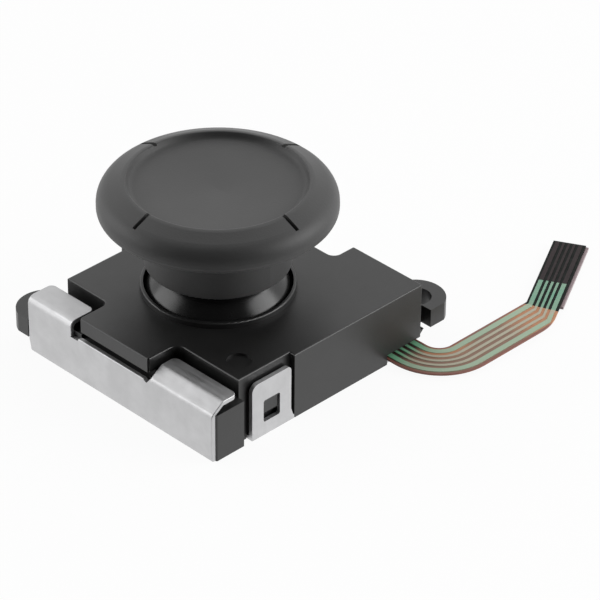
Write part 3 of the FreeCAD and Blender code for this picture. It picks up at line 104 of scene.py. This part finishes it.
def colour(name, description, code):
    """A colour that a user may change."""
    return bpy.props.FloatVectorProperty(
        name=name, description=description, subtype="COLOR", size=4, min=0, max=1,
        default=linear(code))


def length(name, description, millimetres):
    """A length that a user may change."""
    return bpy.props.FloatProperty(
        name=name, description=description, default=millimetres * MM, unit="LENGTH", min=0,
        precision=5)


class StickColours(bpy.types.PropertyGroup):
    """Colours of the module's finishes"""

    rubber: colour("Cap rubber", "Moulded rubber of the thumb cap", "#373737")
    housing: colour("Housing", "Moulded plastic of the housing", "#212121")
    lever: colour("Lever", "Polished plastic of the dome and the post", "#191919")
    steel: colour("Steel", "Plated sheet of the base", "#cbcbcc")
    spring: colour("Springs", "Bare spring steel inside", "#b4b2ae")
    bronze: colour("Wipers", "Phosphor bronze of the wipers", "#c58a5c")
    inner: colour("Rockers", "Plastic of the rockers, frame and hub", "#d9d6cf")
    amber: colour("Film", "Ribbon film between the lines", "#91705c")
    umber: colour("Film at the housing", "Ribbon film where the housing shades it", "#3b2a22")
    orange: colour("Film at the bends", "Ribbon film where the light falls through", "#c4875f")
    russet: colour("Film edges", "Cut edges of the ribbon film", "#8c5647")
    black: colour("Film of the tail", "Ribbon film on its stiffener", "#07100b")
    mask: colour("Wide lines", "Green ink over the wide printed lines", "#a8c4a8")
    deep_mask: colour("Lines at the housing", "The same ink where the housing shades it", "#6fbd92")
    pale_mask: colour("Thin lines", "The same ink where the lines are thin", "#bdb8a2")
    tail_mask: colour("Lines on the tail", "The same ink on the tail's black ground", "#76ad92")
    carbon: colour("Carbon ink", "Contact pads and tracks", "#291c1e")
    stiffener: colour("Stiffener", "Edge of the sheet below the tail", "#a48f92")


class StickGrain(bpy.types.PropertyGroup):
    """Sizes of the patterns in the finishes"""

    # On such parts the pits are usually about 0.04 mm wide and the rolling lines about 0.02 mm.
    # Both are too fine to show in the picture, so they are drawn as coarse as they need to show.
    rubber_pit: length("Rubber grain", "Pits that the cap's tool leaves", 0.13)
    rubber_depth: length("Rubber depth", "Depth of those pits", 0.006)
    housing_pit: length("Housing grain", "Pits that the housing's tool leaves", 0.16)
    housing_depth: length("Housing depth", "Depth of those pits", 0.0025)
    rolling: length("Rolling lines", "Width of the lines that rolling leaves in the sheet", 0.15)
    rolling_run: length("Rolling run", "Length of those lines", 4.0)
    rolling_depth: length("Rolling depth", "Depth of those lines", 0.002)
    handling: length("Handling marks", "Size of the dull patches on the sheet", 2.2)
    waves: length("Sheet waves", "Size of the dents that pressing leaves in the sheet", 1.3)
    wave_depth: length("Wave depth", "Depth of those dents", 0.04)


class StickStudio(bpy.types.PropertyGroup):
    """Sizes of the floor and the lamps"""

    floor: length("Floor", "Side of the floor", 4000)
    lamp_gap: length("Lamp distance", "Stick to the lamps", 300)
    lamp_width: length("Lamp width", "Width of the side lamps", 220)
    lamp_height: length("Lamp height", "Height of the side lamps", 220)
    focal: length("Lens", "Focal length of the camera", 216)


def add_node(tree, kind, sources=None, values=None, **settings):
    """Adds a node; sources are sockets linked to its inputs, and values are set on them."""
    node = tree.nodes.new(kind)
    for name, value in settings.items():
        setattr(node, name, value)
    for key, value in (values or {}).items():
        node.inputs[key].default_value = value
    for key, socket in (sources or {}).items():
        tree.links.new(socket, node.inputs[key])
    return node


def new_finish(name, base, roughness, **shader_values):
    """A material with its shader's constants, and its object coordinates in metres."""
    material = bpy.data.materials.new(name)
    material.use_nodes = True
    tree = material.node_tree
    shader = tree.nodes["Principled BSDF"]
    shader.inputs["Base Color"].default_value = base
    shader.inputs["Roughness"].default_value = roughness
    for key, value in shader_values.items():
        shader.inputs[key.replace("_", " ")].default_value = value
    place = add_node(tree, "ShaderNodeTexCoord")
    return material, tree, shader, place.outputs["Object"]


def wander(tree, place, size, low, high):
    """A number that drifts between low and high over patches of the given size."""
    noise = add_node(tree, "ShaderNodeTexNoise", {"Vector": place},
                     {"Scale": 1 / size, "Detail": 3.0})
    drift = add_node(tree, "ShaderNodeMapRange", {"Value": noise.outputs["Fac"]},
                     {"From Min": NOISE_LOW, "From Max": NOISE_HIGH, "To Min": low, "To Max": high})
    return drift.outputs["Result"]


def pitted(tree, shader, place, pit, depth):
    """Fine pits in the surface, as a moulding tool leaves them."""
    noise = add_node(tree, "ShaderNodeTexNoise", {"Vector": place},
                     {"Scale": 1 / pit, "Detail": 2.0})
    bump = add_node(tree, "ShaderNodeBump", {"Height": noise.outputs["Fac"]},
                    {"Distance": depth, "Strength": 1.0})
    tree.links.new(bump.outputs["Normal"], shader.inputs["Normal"])


def uneven(tree, shader, place, size, glossiest, dullest):
    """Lets the roughness drift over patches of the given size."""
    drift = wander(tree, place, size, glossiest, dullest)
    tree.links.new(drift, shader.inputs["Roughness"])


def shade(base, amount):
    """A linear colour made lighter or darker by an amount."""
    return [min(1, c * amount) for c in base[:3]] + [1.0]


def tinted(tree, shader, factor, first, second):
    """The base colour between two colours by a factor."""
    mix = add_node(tree, "ShaderNodeMix", {"Factor": factor}, {6: first, 7: second},
                   data_type="RGBA")
    tree.links.new(mix.outputs[2], shader.inputs["Base Color"])


def clouded(tree, shader, place, size, base, darkest, lightest):
    """Lets the base colour drift between two shades over patches of the given size."""
    factor = wander(tree, place, size, low=0, high=1)
    tinted(tree, shader, factor, shade(base, darkest), shade(base, lightest))


def moulded_rubber(colours, grain):
    """Silicone rubber from a spark-eroded tool.

    It looks dull, with a fine even grain and a dusty bloom on its edges.
    """
    material, tree, shader, place = new_finish(
        "moulded_silicone_rubber", colours.rubber, 0.5, IOR=1.5, Sheen_Weight=0.12,
        Sheen_Roughness=0.6)
    clouded(tree, shader, place, 3.5 * MM, colours.rubber, darkest=0.94, lightest=1.06)
    uneven(tree, shader, place, 1.8 * MM, glossiest=0.49, dullest=0.53)
    pitted(tree, shader, place, grain.rubber_pit, grain.rubber_depth)
    return material


def satin_polyester(colours, grain):
    """Glass-filled polyester from a satin tool.

    It looks black and half glossy, and clouded where the fibres come near the skin.
    """
    material, tree, shader, place = new_finish(
        "satin_glass_filled_polyester", colours.housing, 0.36, IOR=1.6)
    clouded(tree, shader, place, 2.5 * MM, colours.housing, darkest=0.9, lightest=1.12)
    uneven(tree, shader, place, 1.2 * MM, glossiest=0.345, dullest=0.385)
    pitted(tree, shader, place, grain.housing_pit, grain.housing_depth)
    return material


def polished_acetal(name, base, roughness):
    """Acetal from a polished tool.

    It looks smooth, with a soft wide highlight and faint flow lines.
    """
    material, tree, shader, place = new_finish(name, base, roughness, IOR=1.48)
    clouded(tree, shader, place, 2.0 * MM, base, darkest=0.85, lightest=1.15)
    uneven(tree, shader, place, 0.9 * MM, glossiest=roughness - 0.04, dullest=roughness + 0.05)
    pitted(tree, shader, place, pit=0.4 * MM, depth=0.0012 * MM)
    return material


def rolled_steel(colours, grain):
    """Cold rolled steel under a thin bright plating.

    It shows long faint rolling lines, paler and duller patches from handling, and shallow
    dents from the press that make its reflections uneven.
    """
    material, tree, shader, place = new_finish(
        "plated_rolled_steel", colours.steel, 0.34, Metallic=1.0)
    # The sheet was rolled along X. The side tabs are folded up, so the lines stand upright there.
    across = 1 / grain.rolling
    along = 1 / grain.rolling_run
    face = add_node(tree, "ShaderNodeNewGeometry")
    sides = add_node(tree, "ShaderNodeSeparateXYZ", {0: face.outputs["True Normal"]})
    sideways = add_node(tree, "ShaderNodeMath", {0: sides.outputs["X"]}, operation="ABSOLUTE")
    flat = add_node(tree, "ShaderNodeMapping", {"Vector": place},
                    {"Scale": (along, across, across)})
    upright = add_node(tree, "ShaderNodeMapping", {"Vector": place},
                       {"Scale": (across, across, along)})
    run = add_node(tree, "ShaderNodeMix",
                   {"Factor": sideways.outputs[0], 4: flat.outputs[0], 5: upright.outputs[0]},
                   data_type="VECTOR")
    lines = add_node(tree, "ShaderNodeTexNoise", {"Vector": run.outputs[1]},
                     {"Scale": 1.0, "Detail": 4.0})
    # The plating alone has a roughness of 0.34, and the lines add most where the sheet is dull.
    dull = wander(tree, place, grain.handling, low=0.30, high=0.42)
    rough = add_node(tree, "ShaderNodeMath", {0: dull, 1: lines.outputs["Fac"]}, {2: 0.34},
                     operation="MULTIPLY_ADD")
    tree.links.new(rough.outputs[0], shader.inputs["Roughness"])
    # The colour follows the lines by three parts and the patches by two.
    patches = wander(tree, place, grain.handling / 2, low=0, high=1)
    marked = add_node(tree, "ShaderNodeMix", {2: lines.outputs["Fac"], 3: patches},
                      {"Factor": 0.4}, data_type="FLOAT")
    tinted(tree, shader, marked.outputs[0], shade(colours.steel, 0.84), shade(colours.steel, 1.12))
    waves = add_node(tree, "ShaderNodeTexNoise", {"Vector": place},
                     {"Scale": 1 / grain.waves, "Detail": 1.0})
    dents = add_node(tree, "ShaderNodeBump", {"Height": waves.outputs["Fac"]},
                     {"Distance": grain.wave_depth, "Strength": 1.0})
    ridges = add_node(tree, "ShaderNodeBump",
                      {"Height": lines.outputs["Fac"], "Normal": dents.outputs["Normal"]},
                      {"Distance": grain.rolling_depth, "Strength": 1.0})
    tree.links.new(ridges.outputs["Normal"], shader.inputs["Normal"])
    return material


def spring_metal(name, base, roughness):
    """Bare spring strip or wire, drawn bright.

    It shows fine dull scratches, drawn coarser than the usual 0.02 mm, which wouldn't show.
    """
    material, tree, shader, place = new_finish(name, base, roughness, Metallic=1.0)
    uneven(tree, shader, place, 0.15 * MM, glossiest=roughness - 0.08, dullest=roughness + 0.1)
    clouded(tree, shader, place, 0.6 * MM, base, darkest=0.85, lightest=1.1)
    return material


def between(tree, value, low, high, soft):
    """One where a value lies between two bounds and nothing outside, with soft ends."""
    rise = add_node(tree, "ShaderNodeMapRange", {"Value": value},
                    {"From Min": low - soft, "From Max": low + soft})
    fall = add_node(tree, "ShaderNodeMapRange", {"Value": value},
                    {"From Min": high - soft, "From Max": high + soft, "To Min": 1.0, "To Max": 0.0})
    both = add_node(tree, "ShaderNodeMath", {0: rise.outputs[0], 1: fall.outputs[0]},
                    operation="MULTIPLY")
    return both.outputs[0]


def ribbon_places(tree, place):
    """Where a point of the ribbon lies.

    Gives its distance from the inner edge, one if it is on the tail, one if the housing shades
    it, and how far back it is.
    """
    parts = add_node(tree, "ShaderNodeSeparateXYZ", {0: place})
    right = add_node(tree, "ShaderNodeMath", {0: parts.outputs["X"]}, {1: ELBOW[0]},
                     operation="SUBTRACT")
    front = add_node(tree, "ShaderNodeMath", {0: parts.outputs["Y"]}, {1: ELBOW[1]},
                     operation="SUBTRACT")
    right = add_node(tree, "ShaderNodeMath", {0: right.outputs[0]}, {1: 0.0}, operation="MAXIMUM")
    front = add_node(tree, "ShaderNodeMath", {0: front.outputs[0]}, {1: 0.0}, operation="MINIMUM")
    both = add_node(tree, "ShaderNodeCombineXYZ", {0: right.outputs[0], 1: front.outputs[0]})
    away = add_node(tree, "ShaderNodeVectorMath", {0: both.outputs[0]}, operation="LENGTH")
    offset = add_node(tree, "ShaderNodeMath", {0: away.outputs["Value"]}, {1: ELBOW_ROUND},
                      operation="SUBTRACT")
    beyond = add_node(tree, "ShaderNodeVectorMath", {0: place}, {1: TAIL_HEADING},
                      operation="DOT_PRODUCT")
    tail = add_node(tree, "ShaderNodeMath", {0: beyond.outputs["Value"]}, {1: TAIL_START},
                    operation="GREATER_THAN")
    shaded = between(tree, parts.outputs["X"], *SHADED_BAND)
    return offset.outputs[0], tail.outputs[0], shaded, parts.outputs["Y"]


def blended(tree, factor, first, second):
    """One colour or another by a factor; each is a socket or a plain colour."""
    links = {"Factor": factor}
    values = {}
    for key, source in ((6, first), (7, second)):
        (links if isinstance(source, bpy.types.NodeSocket) else values)[key] = source
    return add_node(tree, "ShaderNodeMix", links, values, data_type="RGBA").outputs[2]


def printed_film(colours):
    """Polyimide film of the ribbon.

    It looks brown, and orange where light falls through its bends. Its cut edges are russet,
    the housing shades its start, and it is black and dull on the tail.
    """
    material, tree, shader, place = new_finish("polyimide_film", colours.amber, 0.35, IOR=1.6)
    offset, tail, shaded, back = ribbon_places(tree, place)
    elbow = between(tree, back, *ELBOW_BAND)
    inner = between(tree, offset, *INNER_BAND)
    bend = add_node(tree, "ShaderNodeMath", {0: elbow, 1: inner}, operation="MULTIPLY")
    kink = between(tree, back, *KINK_BAND)
    warm = add_node(tree, "ShaderNodeMath", {0: bend.outputs[0], 1: kink}, operation="MAXIMUM")
    lit = blended(tree, warm.outputs[0], colours.amber, colours.orange)
    brown = blended(tree, shaded, lit, colours.umber)
    uncut = between(tree, offset, *UNCUT_BAND)
    edged = blended(tree, uncut, colours.russet, brown)
    tree.links.new(blended(tree, tail, edged, colours.black), shader.inputs["Base Color"])
    uneven(tree, shader, place, 0.5 * MM, glossiest=0.45, dullest=0.6)
    # The film has the usual reflection, and only a quarter of it on the tail.
    gloss = add_node(tree, "ShaderNodeMapRange", {"Value": tail}, {"To Min": 0.5, "To Max": 0.12})
    tree.links.new(gloss.outputs[0], shader.inputs["Specular IOR Level"])
    return material


def insulating_ink(colours):
    """Green insulating ink over the printed lines, screen printed.

    It looks beige where the lines are thin, and deeper green on the tail and in the housing's
    shade. The screen's pits are drawn coarser than the usual 0.05 mm, which wouldn't show.
    """
    material, tree, shader, place = new_finish(
        "green_insulating_ink", colours.mask, 0.42, IOR=1.5)
    offset, tail, shaded, _ = ribbon_places(tree, place)
    thin = between(tree, offset, *THIN_LINES_BAND)
    ribbon = blended(tree, thin, colours.mask, colours.pale_mask)
    ribbon = blended(tree, shaded, ribbon, colours.deep_mask)
    clean = blended(tree, tail, ribbon, colours.tail_mask)
    faded = wander(tree, place, 0.8 * MM, low=0, high=0.25)
    tree.links.new(blended(tree, faded, clean, colours.pale_mask), shader.inputs["Base Color"])
    pitted(tree, shader, place, pit=0.12 * MM, depth=0.002 * MM)
    return material


def carbon_ink(colours):
    """Screen-printed carbon ink.

    It looks warm black and dull. The screen's pits are drawn coarser than the usual 0.05 mm,
    which wouldn't show.
    """
    material, tree, shader, place = new_finish(
        "screen_printed_carbon", colours.carbon, 0.72, IOR=1.5)
    clouded(tree, shader, place, 0.25 * MM, colours.carbon, darkest=0.75, lightest=1.2)
    pitted(tree, shader, place, pit=0.1 * MM, depth=0.003 * MM)
    return material


def cut_polyester(colours):
    """Cut polyester sheet.

    It looks pale and slightly pink on its cut edge.
    """
    material, tree, shader, place = new_finish(
        "polyester_stiffener", colours.stiffener, 0.4, IOR=1.58)
    clouded(tree, shader, place, 0.5 * MM, colours.stiffener, darkest=0.85, lightest=1.0)
    return material


def wear(names, material):
    """Gives CAD nodes a finish and smooth shading up to their real edges."""
    for name in names:
        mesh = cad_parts[name].data
        mesh.materials.clear()
        mesh.materials.append(material)
        mesh.shade_smooth()
        mesh.set_sharp_from_angle(angle=SMOOTH_BELOW)


class STICK_OT_dress_cap(bpy.types.Operator):
    """Gives the thumb cap its rubber and its core its plastic"""

    bl_idname = "stick.dress_cap"
    bl_label = "Thumb cap"
    bl_options = {"REGISTER", "UNDO"}

    def execute(self, context):
        colours = context.scene.stick_colours
        wear(["thumb_cap"], moulded_rubber(colours, context.scene.stick_grain))
        wear(["cap_core"], polished_acetal("acetal_core", colours.lever, roughness=0.3))
        return {"FINISHED"}


class STICK_OT_dress_housing(bpy.types.Operator):
    """Gives the housing its satin black polyester"""

    bl_idname = "stick.dress_housing"
    bl_label = "Housing"
    bl_options = {"REGISTER", "UNDO"}

    def execute(self, context):
        scene = context.scene
        wear(["housing"], satin_polyester(scene.stick_colours, scene.stick_grain))
        return {"FINISHED"}


class STICK_OT_dress_lever(bpy.types.Operator):
    """Gives the lever its glossy black acetal"""

    bl_idname = "stick.dress_lever"
    bl_label = "Lever"
    bl_options = {"REGISTER", "UNDO"}

    def execute(self, context):
        colours = context.scene.stick_colours
        wear(["stick_lever"], polished_acetal("polished_acetal", colours.lever, roughness=0.24))
        return {"FINISHED"}


class STICK_OT_dress_base(bpy.types.Operator):
    """Gives the base plate its plated sheet steel"""

    bl_idname = "stick.dress_base"
    bl_label = "Base plate"
    bl_options = {"REGISTER", "UNDO"}

    def execute(self, context):
        scene = context.scene
        wear(["base_plate"], rolled_steel(scene.stick_colours, scene.stick_grain))
        return {"FINISHED"}


class STICK_OT_dress_ribbon(bpy.types.Operator):
    """Gives the ribbon its film, lines, pads and stiffener"""

    bl_idname = "stick.dress_ribbon"
    bl_label = "Ribbon"
    bl_options = {"REGISTER", "UNDO"}

    def execute(self, context):
        colours = context.scene.stick_colours
        wear(["flex_film"], printed_film(colours))
        wear(["trace_lines"], insulating_ink(colours))
        wear(["contact_pads", "carbon_track_x", "carbon_track_y"], carbon_ink(colours))
        wear(["tail_stiffener"], cut_polyester(colours))
        return {"FINISHED"}


class STICK_OT_dress_mechanism(bpy.types.Operator):
    """Gives the hidden rockers, hub, sliders, springs, wipers and dome cover their finishes"""

    bl_idname = "stick.dress_mechanism"
    bl_label = "Mechanism"
    bl_options = {"REGISTER", "UNDO"}

    def execute(self, context):
        colours = context.scene.stick_colours
        wear(["bearing_frame", "lower_rocker", "upper_rocker", "pivot_hub", "slider_x", "slider_y"],
             polished_acetal("natural_acetal", colours.inner, roughness=0.38))
        wear(["return_spring", "lever_clip", "spring_washer", "click_dome"],
             spring_metal("bright_spring_steel", colours.spring, roughness=0.28))
        wear(["wiper_x", "wiper_y"],
             spring_metal("phosphor_bronze", colours.bronze, roughness=0.3))
        wear(["dome_cover"], cut_polyester(colours))
        return {"FINISHED"}


def aimed(place, target, roll=0.0):
    """A placement at a point whose -Z looks at the target, turned by a roll."""
    forward = (target - place).normalized()
    right = forward.cross(Vector((0, 0, 1))).normalized()
    up = right.cross(forward)
    across = right * math.cos(roll) + up * math.sin(roll)
    upward = up * math.cos(roll) - right * math.sin(roll)
    turn = Matrix((across, upward, -forward)).transposed().to_4x4()
    return Matrix.Translation(place) @ turn


def add_lamp(name, azimuth, height, power, studio):
    """A soft box that looks at the stick from an azimuth and a height in degrees."""
    data = bpy.data.lights.new(name, "AREA")
    data.shape = "RECTANGLE"
    data.size = studio.lamp_width
    data.size_y = studio.lamp_height
    data.energy = power
    lamp = bpy.data.objects.new(name, data)
    bpy.context.scene.collection.objects.link(lamp)
    flat = math.radians(azimuth)
    lift = math.radians(height)
    toward = Vector((math.cos(lift) * math.cos(flat), math.cos(lift) * math.sin(flat), math.sin(lift)))
    lamp.matrix_world = aimed(LAMP_AIM + toward * studio.lamp_gap, LAMP_AIM)


def add_floor(side):
    """A pale sheet of paper below the module, which keeps its shadow."""
    half = side / 2
    mesh = bpy.data.meshes.new("floor")
    corners = [(-half, -half, 0), (half, -half, 0), (half, half, 0), (-half, half, 0)]
    mesh.from_pydata(corners, [], [(0, 1, 2, 3)])
    floor = bpy.data.objects.new("floor", mesh)
    floor.location.z = FLOOR_LEVEL
    bpy.context.scene.collection.objects.link(floor)
    material, tree, shader, place = new_finish("white_paper", linear(PAPER), 0.9, IOR=1.3)
    shader.inputs["Specular IOR Level"].default_value = 0.0
    ray = add_node(tree, "ShaderNodeLightPath")
    seen = add_node(tree, "ShaderNodeMath",
                    {0: ray.outputs["Is Camera Ray"], 1: ray.outputs["Is Glossy Ray"]},
                    operation="MAXIMUM")
    seen = add_node(tree, "ShaderNodeMath",
                    {0: seen.outputs[0], 1: ray.outputs["Is Transmission Ray"]},
                    operation="MAXIMUM")
    ahead = add_node(tree, "ShaderNodeVectorMath", {0: place}, {1: TOWARD_CAMERA},
                     operation="DOT_PRODUCT")
    dim = add_node(tree, "ShaderNodeMapRange", {"Value": ahead.outputs["Value"]}, PAPER_DIMMING)
    lit = add_node(tree, "ShaderNodeMath", {0: dim.outputs[0], 1: ray.outputs["Is Camera Ray"]},
                   operation="MAXIMUM")
    tinted(tree, shader, lit.outputs[0], linear(DIM_PAPER), linear(PAPER))
    seen = add_node(tree, "ShaderNodeMath", {0: seen.outputs[0], 1: lit.outputs[0]},
                    operation="MULTIPLY")
    share = add_node(tree, "ShaderNodeMath", {0: seen.outputs[0]}, {1: PAPER_GLOW},
                     operation="MULTIPLY")
    glow = add_node(tree, "ShaderNodeEmission", values={"Color": (1, 1, 1, 1), "Strength": 1.0})
    mix = add_node(tree, "ShaderNodeMixShader",
                   {0: share.outputs[0], 1: shader.outputs[0], 2: glow.outputs[0]})
    tree.links.new(mix.outputs[0], tree.nodes["Material Output"].inputs["Surface"])
    mesh.materials.append(material)


def light_world():
    """A white room that is dark on the camera's side, so the black parts keep their depth."""
    world = bpy.data.worlds.new("white_room")
    bpy.context.scene.world = world
    world.use_nodes = True
    tree = world.node_tree
    background = tree.nodes["Background"]
    direction = add_node(tree, "ShaderNodeTexCoord")
    facing = add_node(tree, "ShaderNodeVectorMath", {0: direction.outputs["Generated"]},
                      {1: ROOM_FRONT}, operation="DOT_PRODUCT")
    dark = add_node(tree, "ShaderNodeMapRange", {"Value": facing.outputs["Value"]}, ROOM_DARKENING,
                    interpolation_type="SMOOTHSTEP")
    overhead = add_node(tree, "ShaderNodeMapRange", {"Value": facing.outputs["Value"]},
                        ROOM_OVERHEAD)
    room = add_node(tree, "ShaderNodeMath",
                    {0: dark.outputs["Result"], 1: overhead.outputs["Result"]},
                    operation="MULTIPLY")
    ray = add_node(tree, "ShaderNodeLightPath")
    strength = add_node(tree, "ShaderNodeMix",
                        {"Factor": ray.outputs["Is Camera Ray"], 2: room.outputs[0]}, {3: 1.0},
                        data_type="FLOAT")
    tree.links.new(strength.outputs[0], background.inputs["Strength"])
    background.inputs["Color"].default_value = (1, 1, 1, 1)


class STICK_OT_set_stage(bpy.types.Operator):
    """Sets the floor, the lamps, the white room and the camera"""

    bl_idname = "stick.set_stage"
    bl_label = "Stage"
    bl_options = {"REGISTER", "UNDO"}

    def execute(self, context):
        studio = context.scene.stick_studio
        add_floor(studio.floor)
        for name, azimuth, height, power in SIDE_LAMPS:
            add_lamp(name, azimuth, height, power, studio)
        light_world()
        data = bpy.data.cameras.new("camera")
        data.lens = studio.focal / MM
        data.sensor_width = CAMERA_SENSOR
        data.clip_start = CAMERA_CLIP
        camera = bpy.data.objects.new("camera", data)
        context.scene.collection.objects.link(camera)
        camera.matrix_world = aimed(CAMERA_AT, CAMERA_AIM, CAMERA_ROLL)
        context.scene.camera = camera
        context.scene.view_settings.view_transform = "Standard"
        return {"FINISHED"}


STEPS = (
    STICK_OT_dress_cap,
    STICK_OT_dress_housing,
    STICK_OT_dress_lever,
    STICK_OT_dress_base,
    STICK_OT_dress_ribbon,
    STICK_OT_dress_mechanism,
    STICK_OT_set_stage,
)


class STICK_PT_panel(bpy.types.Panel):
    """Lists the steps in the sidebar"""

    bl_label = "Thumb stick module"
    bl_idname = "STICK_PT_panel"
    bl_space_type = "VIEW_3D"
    bl_region_type = "UI"
    bl_category = "Stick"

    def draw(self, context):
        for step in STEPS:
            self.layout.operator(step.bl_idname)


CLASSES = (StickColours, StickGrain, StickStudio) + STEPS + (STICK_PT_panel,)


def register():
    """Registers the classes and puts the settings on the scene."""
    for cls in CLASSES:
        bpy.utils.register_class(cls)
    bpy.types.Scene.stick_colours = bpy.props.PointerProperty(type=StickColours)
    bpy.types.Scene.stick_grain = bpy.props.PointerProperty(type=StickGrain)
    bpy.types.Scene.stick_studio = bpy.props.PointerProperty(type=StickStudio)


def unregister():
    """Takes the settings off the scene and unregisters the classes."""
    del bpy.types.Scene.stick_studio
    del bpy.types.Scene.stick_grain
    del bpy.types.Scene.stick_colours
    for cls in reversed(CLASSES):
        bpy.utils.unregister_class(cls)


def main():
    """Registers the classes and runs every step in order."""
    register()
    for step in STEPS:
        family, action = step.bl_idname.split(".")
        getattr(getattr(bpy.ops, family), action)()


if __name__ == "__main__":
    main()
